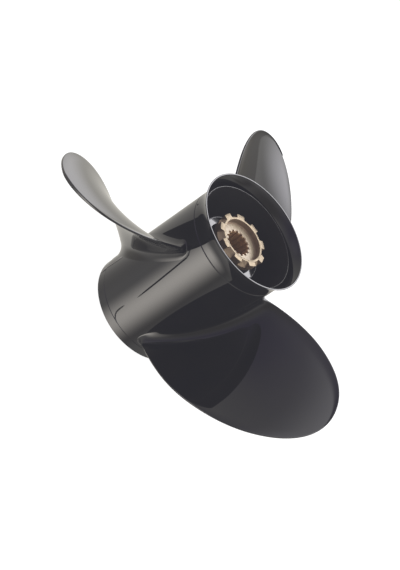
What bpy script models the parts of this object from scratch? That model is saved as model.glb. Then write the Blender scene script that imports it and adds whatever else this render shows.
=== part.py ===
"""Three-bladed outboard propeller with a through-hub exhaust, modelled in metres.

The shaft axis is +Z and points aft. The propeller stands on the forward rim of its barrel, at z = 0.
"""

import math

import bmesh
import bpy
from mathutils import Vector

# The barrel, the tube that carries the blades and lets the exhaust through
LIP_Z = 0.1565
LIP_RADIUS = 0.0585
BAND_HEIGHT = 0.0109
BAND_RADIUS = 0.0545
BARREL_FORE_RADIUS = 0.0549
BARREL_AFT_RADIUS = 0.0534
BORE_RADIUS = 0.0507
SEAM_Z = 0.1354

# The flared diffuser ring at the aft end
FLARE_START_Z = 0.1400
LIP_THICKNESS = 0.0012
LEDGE_Z = 0.1462
LEDGE_ROUND = 0.0040

# The inner hub and the three ribs that carry it in the barrel
HUB_RADIUS = 0.0327
HUB_FORE_Z = 0.0120
HUB_AFT_Z = 0.1243
HUB_BORE_RADIUS = 0.0284
HUB_SHOULDER_Z = 0.1120
HUB_SHOULDER_RADIUS = 0.0256
RIB_THICKNESS = 0.0050
RIB_FORE_Z = 0.0160
RIB_AFT_Z = 0.1120
RIB_ROUND = 0.0020
RIB_END_GAP = 0.0004

# The rubber bushing and the bronze drive sleeve inside it
BUSHING_NECK_RADIUS = 0.0250
BUSHING_FORE_Z = 0.0140
SLEEVE_RADIUS = 0.0173
SLEEVE_FORE_Z = 0.0100
FLANGE_RADIUS = 0.0260
FLANGE_FORE_Z = 0.1310
FLANGE_AFT_Z = 0.1347
CHAMFER = 0.0010

# The nut's seat, a flat floor that curves up into the bore of the lug ring
SEAT_Z = 0.1343
SEAT_RADIUS = 0.0158
DISH_ROUND = 0.0050

# The splined bore
SPLINE_COUNT = 15
SPLINE_MAJOR_RADIUS = 0.01275
SPLINE_MINOR_RADIUS = 0.0111
SPLINE_GROOVE_ANGLE = math.radians(12.0)
SPLINE_LAND_SHARE = 0.84
SPLINE_PHASE = math.radians(-5.7)

# The lug ring on the flange, with notches that slope out between its lugs
LUG_COUNT = 9
LUG_FACE_Z = 0.1406
LUG_TIP_RADIUS = 0.0267
LUG_WIDTH = 0.0084
LUG_PHASE = math.radians(1.5)
NOTCH_RADIUS = 0.0228

# The blades: tip circle, pitch and rake at the root, middle and tip, and section
BLADE_COUNT = 3
ROOT_RADIUS = 0.0541
TIP_RADIUS = 0.1809
REFERENCE_Z = 0.0707
PITCH_ROOT = 0.500
PITCH_MIDDLE = 0.462
PITCH_TIP = 0.470
RAKE_ROOT = math.radians(22.4)
RAKE_TIP = math.radians(7.0)
EDGE_THICKNESS = 0.0016
CROWN_ROOT = 0.0085
CROWN_TIP = 0.0012
CROWN_HALF_CHORD = 0.0192
CUP_HEIGHT = 0.0010
CUP_START = 0.82
ROOT_FILLET = 0.0070

# Control points of the blade's outline, as arc length from the blade's reference line and radius,
# from the trailing edge at the root, round the tip, to the leading edge at the root
OUTLINE = (
    (0.0318, 0.0541),
    (0.0593, 0.0962),
    (0.0753, 0.1372),
    (0.0714, 0.1693),
    (0.0387, 0.1859),
    (-0.0121, 0.1724),
    (-0.0564, 0.1452),
    (-0.0681, 0.1048),
    (-0.0374, 0.0541),
)

# The gap between pieces that touch, and how far a cutter runs past what it cuts
FIT_GAP = 0.0003
CUTTER_REACH = 0.0200

# How finely the curved shapes are divided
TURN_STEPS = 72
HUB_STEPS = 60
OUTLINE_STEPS = 240
SPAN_STEPS = 9
FACE_STEPS = 9
NOSE_STEPS = 4
TIP_STOP = 0.965
FILLET_STATIONS = (-0.45, 0.0, 0.12, 0.3, 0.55, 0.85, 1.2)
FLARE_STEPS = 6
ROUND_STEPS = 4
DISH_STEPS = 3
SHARP_ANGLE = math.radians(35.0)

BLACK_PAINT = ((0.012, 0.012, 0.014), 0.22, 0.0)
RUBBER = ((0.016, 0.015, 0.015), 0.75, 0.0)
BRONZE = ((0.28, 0.19, 0.12), 0.45, 0.9)
BRIGHT_BRONZE = ((0.72, 0.58, 0.42), 0.35, 0.9)


def clear_scene():
    """Removes everything that a new file holds."""
    for thing in list(bpy.data.objects):
        bpy.data.objects.remove(thing, do_unlink=True)


def finish(obj, look):
    """Gives an object its own material from a colour, a roughness and a metallic value."""
    colour, roughness, metallic = look
    material = bpy.data.materials.new(obj.name + "_finish")
    material.use_nodes = True
    shader = material.node_tree.nodes["Principled BSDF"]
    shader.inputs["Base Color"].default_value = (*colour, 1.0)
    shader.inputs["Roughness"].default_value = roughness
    shader.inputs["Metallic"].default_value = metallic
    obj.data.materials.append(material)


def make_object(name, bm, look):
    """Turns a bmesh into a named object with smooth round faces."""
    bmesh.ops.recalc_face_normals(bm, faces=bm.faces)
    mesh = bpy.data.meshes.new(name)
    bm.to_mesh(mesh)
    bm.free()
    mesh.shade_smooth()
    mesh.set_sharp_from_angle(angle=SHARP_ANGLE)
    obj = bpy.data.objects.new(name, mesh)
    bpy.context.collection.objects.link(obj)
    if look is not None:
        finish(obj, look)
    return obj


def turned_mesh(profile, steps):
    """Spins a closed profile of (radius, height) points round the shaft axis."""
    bm = bmesh.new()
    verts = [bm.verts.new((radius, 0.0, height)) for radius, height in profile]
    edges = [bm.edges.new((verts[i - 1], verts[i])) for i in range(len(verts))]
    bmesh.ops.spin(bm, geom=verts + edges, cent=(0, 0, 0), axis=(0, 0, 1),
                   angle=math.tau, steps=steps, use_merge=True, use_duplicate=False)
    return bm


def add_loop(bm, points):
    """Adds a closed loop of edges through the points and returns its edges."""
    verts = [bm.verts.new(point) for point in points]
    return [bm.edges.new((verts[i - 1], verts[i])) for i in range(len(verts))]


def extruded_ring(bm, ring, points):
    """Extrudes a closed ring of vertices and moves the new ring to the given points."""
    edges = [bm.edges.get((ring[i - 1], ring[i])) for i in range(len(ring))]
    made = bmesh.ops.extrude_edge_only(bm, edges=edges)["geom"]
    new = {item for item in made if isinstance(item, bmesh.types.BMVert)}
    moved = []
    for vert, point in zip(ring, points):
        twin = next(edge.other_vert(vert) for edge in vert.link_edges if edge.other_vert(vert) in new)
        twin.co = point
        moved.append(twin)
    return moved


def as_cutter(obj):
    """Hides a shape that only cuts others."""
    obj.hide_render = True
    obj.display_type = 'WIRE'
    return obj


def cut_with(obj, cutter):
    """Cuts a shape out of an object."""
    cut = obj.modifiers.new("Cut", 'BOOLEAN')
    cut.operation = 'DIFFERENCE'
    cut.solver = 'EXACT'
    cut.object = cutter


def arc_points(centre, radius, start, end, steps):
    """Points on an arc in the profile plane, from one angle to another."""
    points = []
    for i in range(steps + 1):
        angle = start + (end - start) * i / steps
        points.append((centre[0] + radius * math.cos(angle), centre[1] + radius * math.sin(angle)))
    return points


def barrel_radius(height):
    """The barrel's outside radius at a height: it narrows a little towards the flare."""
    share = (height - BAND_HEIGHT) / (SEAM_Z - BAND_HEIGHT)
    return BARREL_FORE_RADIUS + (BARREL_AFT_RADIUS - BARREL_FORE_RADIUS) * share


def make_barrel():
    """The main tube, between the forward band and the flare."""
    fore = BAND_HEIGHT + FIT_GAP
    aft = SEAM_Z - FIT_GAP
    profile = [
        (BORE_RADIUS, fore),
        (barrel_radius(fore), fore),
        (barrel_radius(aft), aft),
        (BORE_RADIUS, aft),
    ]
    make_object("barrel", turned_mesh(profile, TURN_STEPS), BLACK_PAINT)


def make_front_band():
    """The forward end of the tube, a little smaller, that the propeller stands on."""
    profile = [
        (BORE_RADIUS + CHAMFER, 0.0),
        (BAND_RADIUS - CHAMFER, 0.0),
        (BAND_RADIUS, CHAMFER),
        (BAND_RADIUS, BAND_HEIGHT),
        (BORE_RADIUS, BAND_HEIGHT),
        (BORE_RADIUS, CHAMFER),
    ]
    make_object("front_band", turned_mesh(profile, TURN_STEPS), BLACK_PAINT)


def flare_profile():
    """Closed profile of the diffuser ring: a straight skirt, an outward sweep and a thin round lip."""
    rise = LIP_Z - LIP_THICKNESS / 2 - FLARE_START_Z
    spread = LIP_RADIUS - BARREL_AFT_RADIUS
    sweep = (rise * rise + spread * spread) / (2 * spread)
    last = math.asin(rise / sweep)
    outside = arc_points((BARREL_AFT_RADIUS + sweep, FLARE_START_Z), sweep,
                         math.pi, math.pi - last, FLARE_STEPS)
    lip_centre = (LIP_RADIUS - LIP_THICKNESS / 2, LIP_Z - LIP_THICKNESS / 2)
    lip = arc_points(lip_centre, LIP_THICKNESS / 2, 0.0, math.pi, ROUND_STEPS)[1:]
    slope = math.atan2(lip[-1][1] - LEDGE_Z, lip[-1][0] - BORE_RADIUS)
    turn = math.pi / 2 - slope
    setback = LEDGE_ROUND * math.tan(turn / 2)
    ledge_centre = (BORE_RADIUS + LEDGE_ROUND, LEDGE_Z - setback)
    ledge = arc_points(ledge_centre, LEDGE_ROUND, math.pi - turn, math.pi, ROUND_STEPS)
    foot = [(BORE_RADIUS, SEAM_Z), (BARREL_AFT_RADIUS, SEAM_Z)]
    return outside + lip + ledge + foot


def make_diffuser_ring():
    """The flared ring that the exhaust leaves through."""
    make_object("diffuser_ring", turned_mesh(flare_profile(), TURN_STEPS), BLACK_PAINT)


def make_inner_hub():
    """The tube inside the barrel, with a shoulder at its aft end that keeps the bushing in."""
    profile = [
        (HUB_BORE_RADIUS, HUB_FORE_Z),
        (HUB_RADIUS - CHAMFER, HUB_FORE_Z),
        (HUB_RADIUS, HUB_FORE_Z + CHAMFER),
        (HUB_RADIUS, HUB_AFT_Z - CHAMFER),
        (HUB_RADIUS - CHAMFER, HUB_AFT_Z),
        (HUB_SHOULDER_RADIUS, HUB_AFT_Z),
        (HUB_SHOULDER_RADIUS, HUB_SHOULDER_Z),
        (HUB_BORE_RADIUS, HUB_SHOULDER_Z),
    ]
    make_object("inner_hub", turned_mesh(profile, HUB_STEPS), BLACK_PAINT)


def make_exhaust_rib(number):
    """One rib from the inner hub to the barrel, under the middle of its blade."""
    inner = HUB_RADIUS + FIT_GAP
    outer = BORE_RADIUS - RIB_END_GAP
    bm = bmesh.new()
    bmesh.ops.create_cube(bm, size=1.0)
    bmesh.ops.scale(bm, vec=(outer - inner, RIB_THICKNESS, RIB_AFT_Z - RIB_FORE_Z), verts=bm.verts)
    bmesh.ops.translate(bm, vec=((outer + inner) / 2, 0, (RIB_AFT_Z + RIB_FORE_Z) / 2), verts=bm.verts)
    radial = [edge for edge in bm.edges if abs(edge.verts[0].co.x - edge.verts[1].co.x) > RIB_ROUND]
    bmesh.ops.bevel(bm, geom=radial, offset=RIB_ROUND, offset_type='OFFSET', segments=2,
                    profile=0.5, affect='EDGES', clamp_overlap=True, material=-1)
    rib = make_object("exhaust_rib_%d" % (number + 1), bm, BLACK_PAINT)
    rib.rotation_euler.z = math.tau * number / BLADE_COUNT


def make_rubber_bushing():
    """The rubber between the hub and the sleeve, which gives way if a blade strikes."""
    bore = SLEEVE_RADIUS + FIT_GAP
    body = HUB_BORE_RADIUS - FIT_GAP
    shoulder = HUB_SHOULDER_Z - FIT_GAP
    profile = [
        (bore, BUSHING_FORE_Z),
        (body, BUSHING_FORE_Z),
        (body, shoulder),
        (BUSHING_NECK_RADIUS, shoulder),
        (BUSHING_NECK_RADIUS, FLANGE_FORE_Z - FIT_GAP),
        (bore, FLANGE_FORE_Z - FIT_GAP),
    ]
    make_object("rubber_bushing", turned_mesh(profile, HUB_STEPS), RUBBER)


def spline_outline():
    """Outline of the splined bore: grooves at the large radius and lands at the small one."""
    pitch = math.tau / SPLINE_COUNT
    half_groove = SPLINE_GROOVE_ANGLE / 2
    half_land = SPLINE_LAND_SHARE * (pitch - SPLINE_GROOVE_ANGLE) / 2
    points = []
    for i in range(SPLINE_COUNT):
        middle = SPLINE_PHASE + i * pitch
        for radius, angle in (
            (SPLINE_MAJOR_RADIUS, middle - half_groove),
            (SPLINE_MAJOR_RADIUS, middle + half_groove),
            (SPLINE_MINOR_RADIUS, middle + pitch / 2 - half_land),
            (SPLINE_MINOR_RADIUS, middle + pitch / 2 + half_land),
        ):
            points.append((radius * math.cos(angle), radius * math.sin(angle)))
    return points


def make_spline_cutter():
    """A splined bar that cuts the bore."""
    bm = bmesh.new()
    verts = [bm.verts.new((x, y, -CUTTER_REACH)) for x, y in spline_outline()]
    face = bm.faces.new(verts)
    sides = bmesh.ops.extrude_face_region(bm, geom=[face])
    moved = [item for item in sides["geom"] if isinstance(item, bmesh.types.BMVert)]
    bmesh.ops.translate(bm, vec=(0, 0, LIP_Z + 2 * CUTTER_REACH), verts=moved)
    return as_cutter(make_object("spline_cutter", bm, None))


def dish_wall(top, foot, steps):
    """Points down the round wall between the lug ring's bore and the nut's seat, by height."""
    angles = [math.asin((height - SEAT_Z) / DISH_ROUND - 1) for height in (top, foot)]
    return arc_points((SEAT_RADIUS, SEAT_Z + DISH_ROUND), DISH_ROUND, angles[0], angles[1], steps)


def make_drive_sleeve():
    """The bronze sleeve: a splined tube with a flange and a seat for the nut.

    It is spun with a bore just under the lands' radius, so that the cutter shapes the whole bore.
    """
    bore = SPLINE_MINOR_RADIUS - FIT_GAP
    mouth = SPLINE_MAJOR_RADIUS + CHAMFER
    profile = [
        (bore, SLEEVE_FORE_Z + CHAMFER),
        (SPLINE_MAJOR_RADIUS, SLEEVE_FORE_Z + CHAMFER),
        (mouth, SLEEVE_FORE_Z),
        (SLEEVE_RADIUS, SLEEVE_FORE_Z),
        (SLEEVE_RADIUS, FLANGE_FORE_Z),
        (FLANGE_RADIUS, FLANGE_FORE_Z),
        (FLANGE_RADIUS, FLANGE_AFT_Z),
        *dish_wall(FLANGE_AFT_Z, SEAT_Z, 1),
        (bore, SEAT_Z),
    ]
    sleeve = make_object("drive_sleeve", turned_mesh(profile, HUB_STEPS), BRONZE)
    cut_with(sleeve, make_spline_cutter())


def lug_corners(notch_radius):
    """Corners round the ring of lugs, as (radius, angle), with its notches at the given radius."""
    pitch = math.tau / LUG_COUNT
    half_tip = math.asin(LUG_WIDTH / 2 / LUG_TIP_RADIUS)
    half_root = math.asin(LUG_WIDTH / 2 / notch_radius)
    rest = pitch - 2 * half_root
    corners = []
    for i in range(LUG_COUNT):
        middle = LUG_PHASE + i * pitch
        corners.append((notch_radius, middle - half_root))
        corners += [(LUG_TIP_RADIUS, middle + half_tip * step) for step in (-1, 0, 1)]
        corners += [(notch_radius, middle + half_root + rest * share) for share in (0, 1 / 3, 2 / 3)]
    return corners


def make_lug_ring():
    """The ring of square lugs on the flange's aft face, with a machined face."""
    low = FLANGE_AFT_Z + FIT_GAP
    top = lug_corners(NOTCH_RADIUS)
    foot = lug_corners(FLANGE_RADIUS)
    bore = [(SEAT_RADIUS + DISH_ROUND, LUG_FACE_Z)]
    bore += dish_wall(SEAT_Z + DISH_ROUND, low, DISH_STEPS)
    walk = [
        [(radius, angle, low) for radius, angle in foot],
        [(radius, angle, LUG_FACE_Z) for radius, angle in top],
    ]
    walk += [[(radius, angle, height) for _, angle in top] for radius, height in bore]
    rings = [[(radius * math.cos(angle), radius * math.sin(angle), height)
              for radius, angle, height in corners] for corners in walk]
    bm = bmesh.new()
    add_loop(bm, rings[-1])
    ring = list(bm.verts)
    for points in rings:
        ring = extruded_ring(bm, ring, points)
    bmesh.ops.remove_doubles(bm, verts=bm.verts, dist=FIT_GAP / 10)
    make_object("lug_ring", bm, BRIGHT_BRONZE)


def spline_point(controls, share):
    """A point on the clamped cubic B-spline through the given control points."""
    degree = 3
    spans = len(controls) - degree
    knots = [0.0] * degree + [i / spans for i in range(spans + 1)] + [1.0] * degree
    span = min(int(share * spans), spans - 1) + degree
    work = [Vector(controls[i]) for i in range(span - degree, span + 1)]
    for level in range(1, degree + 1):
        for j in range(degree, level - 1, -1):
            i = span - degree + j
            weight = (share - knots[i]) / (knots[i + degree + 1 - level] - knots[i])
            work[j] = work[j - 1] * (1 - weight) + work[j] * weight
    return work[degree]


def blade_edges():
    """The trailing and leading edges as lists of (radius, arc length), from root to tip."""
    curve = [spline_point(OUTLINE, i / OUTLINE_STEPS) for i in range(OUTLINE_STEPS + 1)]
    top = max(range(len(curve)), key=lambda i: curve[i].y)
    trailing = [(point.y, point.x) for point in curve[:top + 1]]
    leading = [(point.y, point.x) for point in reversed(curve[top:])]
    return trailing, leading


def edge_at(edge, radius):
    """Arc length of an edge at a radius, carried straight on below the root."""
    first = 0
    while first < len(edge) - 2 and edge[first + 1][0] < radius:
        first += 1
    (low, start), (high, end) = edge[first], edge[first + 1]
    return start + (end - start) * (radius - low) / (high - low)


def lead_at(radius):
    """Rise of the blade's face for each radian of turn, from the pitch at three radii."""
    share = (radius - ROOT_RADIUS) / (TIP_RADIUS - ROOT_RADIUS)
    bend = 2 * (PITCH_ROOT + PITCH_TIP - 2 * PITCH_MIDDLE)
    slope = PITCH_TIP - PITCH_ROOT - bend
    return (PITCH_ROOT + slope * share + bend * share * share) / math.tau


def rake_at(radius):
    """How far aft the reference line has swept at a radius."""
    out = radius - ROOT_RADIUS
    fall = (math.tan(RAKE_ROOT) - math.tan(RAKE_TIP)) / (2 * (TIP_RADIUS - ROOT_RADIUS))
    return math.tan(RAKE_ROOT) * out - fall * out * out


def fillet_at(radius, height):
    """How far the root fillet stands out from the blade, at a radius and height."""
    above = min(max(radius - barrel_radius(height), 0.0), ROOT_FILLET)
    drop = ROOT_FILLET - above
    return ROOT_FILLET - math.sqrt(ROOT_FILLET * ROOT_FILLET - drop * drop)


def crown_at(radius):
    """Extra thickness of the forward face at mid-chord, thick at the root and thin at the tip."""
    share = min(max((radius - ROOT_RADIUS) / (TIP_RADIUS - ROOT_RADIUS), 0.0), 1.0)
    return CROWN_ROOT + (CROWN_TIP - CROWN_ROOT) * share


def section_walk():
    """Steps round a section: place along its straight part, push into the nose, and side."""
    walk = []
    for side in (1, -1):
        for i in range(FACE_STEPS):
            walk.append((side * (1 - 2 * i / (FACE_STEPS - 1)), 0.0, side))
        for i in range(1, NOSE_STEPS):
            angle = math.pi * i / NOSE_STEPS
            walk.append((-side, -side * math.sin(angle), side * math.cos(angle)))
    return walk


def section_points(radius, edges):
    """The closed section of blade 1 on a cylinder of the given radius, as points in space."""
    trailing, leading = (edge_at(edge, radius) for edge in edges)
    lead = lead_at(radius)
    helix = math.atan2(lead, radius)
    half_chord = (trailing - leading) / 2 / math.cos(helix)
    middle_arc = (trailing + leading) / 2
    middle_height = REFERENCE_Z + rake_at(radius) + lead * middle_arc / radius
    crown = crown_at(radius) * min(1.0, half_chord / CROWN_HALF_CHORD)
    points = []
    for place, push, side in section_walk():
        fillet = fillet_at(radius, middle_height + place * half_chord * math.sin(helix))
        nose = EDGE_THICKNESS / 2 + fillet
        along = place * (half_chord - EDGE_THICKNESS / 2) + push * nose
        above = side * nose + CUP_HEIGHT * max(0.0, (place - CUP_START) / (1 - CUP_START)) ** 2
        if side < 0:
            above -= crown * (1 - place * place)
        arc = middle_arc + along * math.cos(helix) - above * math.sin(helix)
        height = middle_height + along * math.sin(helix) + above * math.cos(helix)
        turn = arc / radius
        points.append((radius * math.cos(turn), radius * math.sin(turn), height))
    return points


def blade_radii():
    """Radii of the sections: close together in the root fillet and again towards the tip."""
    radii = [ROOT_RADIUS + step * ROOT_FILLET for step in FILLET_STATIONS]
    start = radii[-1]
    for i in range(1, SPAN_STEPS + 1):
        share = 1 - TIP_STOP * i / SPAN_STEPS
        radii.append(TIP_RADIUS - (TIP_RADIUS - start) * share * share)
    return radii


def make_blade_mesh():
    """Blade 1, from inside the barrel's wall to the tip, as a mesh of bridged sections."""
    edges = blade_edges()
    bm = bmesh.new()
    loops = [add_loop(bm, section_points(radius, edges)) for radius in blade_radii()]
    for first, second in zip(loops, loops[1:]):
        bmesh.ops.bridge_loops(bm, edges=first + second)
    for loop in (loops[0], loops[-1]):
        bmesh.ops.contextual_create(bm, geom=loop)
    return bm


def make_barrel_cutter():
    """The barrel's outside, grown by the fitting gap, which trims the blades' roots."""
    low = -CUTTER_REACH
    high = LIP_Z
    profile = [
        (HUB_RADIUS, low),
        (barrel_radius(low) + FIT_GAP, low),
        (barrel_radius(high) + FIT_GAP, high),
        (HUB_RADIUS, high),
    ]
    return as_cutter(make_object("barrel_cutter", turned_mesh(profile, TURN_STEPS), None))


def make_blade(number, cutter):
    """One blade, turned to its place and trimmed to the barrel."""
    blade = make_object("blade_%d" % (number + 1), make_blade_mesh(), BLACK_PAINT)
    blade.rotation_euler.z = math.tau * number / BLADE_COUNT
    cut_with(blade, cutter)


def main():
    clear_scene()
    make_barrel()
    make_front_band()
    make_diffuser_ring()
    make_inner_hub()
    make_rubber_bushing()
    make_drive_sleeve()
    make_lug_ring()
    cutter = make_barrel_cutter()
    for number in range(BLADE_COUNT):
        make_exhaust_rib(number)
        make_blade(number, cutter)


main()
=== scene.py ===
"""Looks of a three-bladed outboard propeller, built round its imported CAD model.

The shaft axis is +Z and points aft, and the propeller stands on its forward rim at z = 0.
Blade 1 lies along +X, and everything is in metres.
"""

import math

import bmesh
import bpy
import numpy as np
from bpy.props import FloatProperty, FloatVectorProperty, IntProperty, PointerProperty
from mathutils import Matrix, Vector


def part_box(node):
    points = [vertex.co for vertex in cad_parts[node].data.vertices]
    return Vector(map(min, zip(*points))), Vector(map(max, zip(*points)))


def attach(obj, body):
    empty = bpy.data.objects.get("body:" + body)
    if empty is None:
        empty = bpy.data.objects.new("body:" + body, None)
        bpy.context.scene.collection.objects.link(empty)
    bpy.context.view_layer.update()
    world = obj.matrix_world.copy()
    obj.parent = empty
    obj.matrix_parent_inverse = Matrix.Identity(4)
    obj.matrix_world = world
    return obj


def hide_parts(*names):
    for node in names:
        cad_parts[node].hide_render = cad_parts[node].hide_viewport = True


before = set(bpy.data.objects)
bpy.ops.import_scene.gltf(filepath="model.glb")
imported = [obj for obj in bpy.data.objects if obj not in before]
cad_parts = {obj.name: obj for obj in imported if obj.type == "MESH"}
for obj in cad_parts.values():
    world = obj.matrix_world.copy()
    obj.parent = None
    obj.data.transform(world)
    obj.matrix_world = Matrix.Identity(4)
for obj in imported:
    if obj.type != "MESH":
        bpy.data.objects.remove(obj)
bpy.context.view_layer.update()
BODY = "root"

bl_info = {
    "name": "Outboard Propeller",
    "version": (1, 0, 0),
    "blender": (4, 5, 0),
    "location": "3D View > Sidebar > Propeller",
    "description": "Builds the looks of a through-hub exhaust propeller round its CAD model",
    "category": "Object",
}

# How finely the round shapes are divided: steps in a full turn, and in the arcs of a profile
TURN_STEPS = 216
HUB_STEPS = 144
ARC_STEPS = 6
FLARE_STEPS = 20
SLOPE_STEPS = 16
LIP_STEPS = 4
LEDGE_STEPS = 5
RIB_CORNER_STEPS = 8
DISH_STEPS = 12

# Edges that bend more than this are shaded sharp, and points closer than this are one point
SHARP_ANGLE = math.radians(38.0)
MERGE_DISTANCE = 0.000001

# How close counts as being at a radius or a height, when faces and edges are chosen
NEAR = 0.0002

# Beside a rounding a wall has one more ring of points at this distance, which keeps its shading
# straight, if the wall is this many times as long as what the rounding and the ring take up
HOLD = 0.00015
HOLD_ROOM = 4

# The forward end and the aft end of the barrel, as the CAD model has them
RIM_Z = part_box("front_band")[0].z
LIP_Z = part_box("diffuser_ring")[1].z


def length(name, description, default):
    """A size property in metres."""
    return FloatProperty(name=name, description=description, default=default,
                         unit='LENGTH', precision=5)


def angle(name, description, degrees):
    """An angle property, given in degrees and kept in radians."""
    return FloatProperty(name=name, description=description, default=math.radians(degrees),
                         subtype='ANGLE')


def share(name, description, default):
    """A plain number between nothing and one."""
    return FloatProperty(name=name, description=description, default=default, min=0.0, max=1.0)


def colour(name, description, default):
    """A colour property, in linear light."""
    return FloatVectorProperty(name=name, description=description, default=default,
                               subtype='COLOR', size=3, min=0.0, max=1.0)


class BarrelSizes(bpy.types.PropertyGroup):
    """The outer tube, with its forward band and its flared end."""

    band_height: length("Band height", "Height of the smaller forward band", 0.0109)
    band_radius: length("Band radius", "Outside radius of the forward band", 0.0545)
    fore_radius: length("Forward radius", "Outside radius just aft of the band", 0.0549)
    aft_radius: length("Aft radius", "Outside radius at the flare", 0.0534)
    bore_radius: length("Bore radius", "Inside radius of the tube", 0.0507)
    seam_z: length("Seam height", "Height of the joint line below the flare", 0.1354)
    seam_width: length("Seam width", "Width of the joint line", 0.0012)
    seam_depth: length("Seam depth", "Depth of the joint line", 0.0006)
    flare_z: length("Flare height", "Height where the tube begins to flare", 0.1400)
    lip_radius: length("Lip radius", "Outside radius of the flared lip", 0.0585)
    lip_thickness: length("Lip thickness", "Thickness of the flat lip", 0.0014)
    lip_round: length("Lip rounding", "Rounding of the lip's two edges", 0.0003)
    ledge_z: length("Ledge height", "Height of the small ledge inside the flare", 0.1462)
    ledge_width: length("Ledge width", "Width of the small ledge inside the flare", 0.00055)
    ledge_round: length("Ledge rounding", "Rounding of the ledge's inner edge", 0.00015)
    ledge_hollow: length("Ledge hollow", "Rounding between the ledge and the slope", 0.0004)
    slope_lean: angle("Slope lean", "Lean of the slope inside the flare, just above the ledge", 17.0)
    chamfer: length("Rim chamfer", "Chamfer on the forward rim", 0.0010)
    edge_round: length("Edge rounding", "Rounding of the edges on the forward rim and its band", 0.0002)
    seam_round: length("Seam rounding", "Rounding of the joint line's edges", 0.00005)


class FlashSizes(bpy.types.PropertyGroup):
    """The fine ridges that the mould's joints have left on the barrel."""

    width: length("Ridge width", "Width of a ridge on the barrel", 0.0016)
    height: length("Ridge height", "Height of a ridge above the barrel", 0.0011)
    nub_radius: length("Nub radius", "Radius of the casting nub below the flare", 0.0010)
    nub_height: length("Nub height", "Height of the casting nub", 0.0006)
    nub_z: length("Nub place", "Height of the nub above the forward rim", 0.1379)
    nub_turn: angle("Nub angle", "Angle of the nub round the shaft axis", 232.0)


class BladeSizes(bpy.types.PropertyGroup):
    """The three blades."""

    count: IntProperty(name="Blades", description="Number of blades", default=3, min=1)
    root_radius: length("Root radius", "Radius where the blades leave the barrel", 0.0541)
    root_depth: length("Root depth", "How far the roots reach under the barrel's skin", 0.0010)
    taper_hold: length("Taper hold", "Height above the root up to which sections follow the barrel", 0.0100)
    taper_fade: length("Taper fade", "Height over which the sections stop following it", 0.0350)
    tip_radius: length("Tip radius", "Radius of the circle that the tips run in", 0.1809)
    reference_z: length("Reference height", "Height of the reference line at the root", 0.0707)
    pitch_root: length("Root pitch", "Travel per turn at the root", 0.500)
    pitch_middle: length("Middle pitch", "Travel per turn halfway out", 0.462)
    pitch_tip: length("Tip pitch", "Travel per turn at the tip", 0.470)
    rake_root: angle("Root rake", "Lean aft of the reference line at the root", 22.4)
    rake_tip: angle("Tip rake", "Lean aft of the reference line at the tip", 7.0)
    tip_bend: length("Tip bend", "How far the tips bend forward", 0.0007)
    bend_radius: length("Bend radius", "Radius at which the tips begin to bend", 0.1450)
    edge: length("Edge thickness", "Thickness of the edge", 0.0021)
    rim_radius: length("Rim radius", "Radius from which the edge is shaped square to the rim", 0.1000)
    rim_fade: length("Rim fade", "Distance over which that sets in", 0.0400)
    edge_square: FloatProperty(name="Edge squareness", description="Power of the edge's curve: 2 is round",
                               default=3.4, min=2.0, max=8.0)
    crown_root: length("Root crown", "Extra thickness at mid-chord by the root", 0.0085)
    crown_tip: length("Tip crown", "Extra thickness at mid-chord by the tip", 0.0012)
    crown_chord: length("Crown chord", "Half chord under which the crown fades out", 0.0192)
    cup: length("Cup", "Height of the upturned trailing edge", 0.0011)
    cup_start: share("Cup start", "Where the cup begins, from mid-chord to the edge", 0.87)
    roll: length("Rim roll", "How far the leading edge bends forward", 0.00035)
    roll_width: length("Rim roll width", "Width of the bent leading edge", 0.0080)
    roll_fade: length("Rim roll fade", "Distance from the tip over which the bend grows", 0.0300)
    fillet: length("Root fillet", "Radius of the fillet on the forward face", 0.0070)
    fillet_end: share("Fillet at the ends", "Part of the fillet that reaches beyond the edges", 0.35)
    fillet_aft: length("Aft root fillet", "Radius of the fillet on the aft face", 0.0120)
    fillet_skirt: length("Fillet skirt", "How far the fillets spread under the barrel's skin", 0.0004)
    beak: FloatProperty(name="Beak", description="How much the aft fillet is drawn out at the leading edge",
                        default=2.2, min=0.0)


class HubSizes(bpy.types.PropertyGroup):
    """The inner hub, its ribs and the rubber bushing."""

    radius: length("Hub radius", "Outside radius of the inner hub", 0.0327)
    fore_z: length("Hub forward end", "Height of the hub's forward end", 0.0120)
    aft_z: length("Hub aft end", "Height of the hub's aft end", 0.1243)
    bore_radius: length("Hub bore", "Radius of the bore that holds the bushing", 0.0284)
    shoulder_z: length("Shoulder height", "Height of the step in the bore", 0.1120)
    shoulder_radius: length("Shoulder radius", "Radius of the bore aft of the step", 0.0256)
    rounding: length("Edge rounding", "Rounding of the hub's edges", 0.0007)
    bead_width: length("Bead width", "Width of the raised rim on the aft face", 0.0010)
    bead_height: length("Bead height", "Height of the raised rim on the aft face", 0.00025)
    rib_thickness: length("Rib thickness", "Thickness of the three ribs", 0.0050)
    rib_fore_z: length("Rib forward end", "Height of the ribs' forward edge", 0.0160)
    rib_aft_z: length("Rib aft end", "Height of the ribs' aft edge", 0.1120)
    rib_round: length("Rib rounding", "Rounding of the ribs' edges", 0.0024)
    rib_fillet: length("Rib fillet", "Fillet between a rib and the walls", 0.0030)
    rib_depth: length("Rib depth", "How far a rib's ends reach into the walls", 0.0008)
    bushing_neck: length("Bushing neck", "Radius of the bushing's aft neck", 0.0250)
    bushing_fore_z: length("Bushing forward end", "Height of the bushing's forward end", 0.0140)
    bushing_round: length("Bushing rounding", "Rounding of the bushing's outer forward edge", 0.0010)
    bushing_gap: length("Bushing gap", "Gap between the bushing and what it touches", 0.0002)


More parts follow.
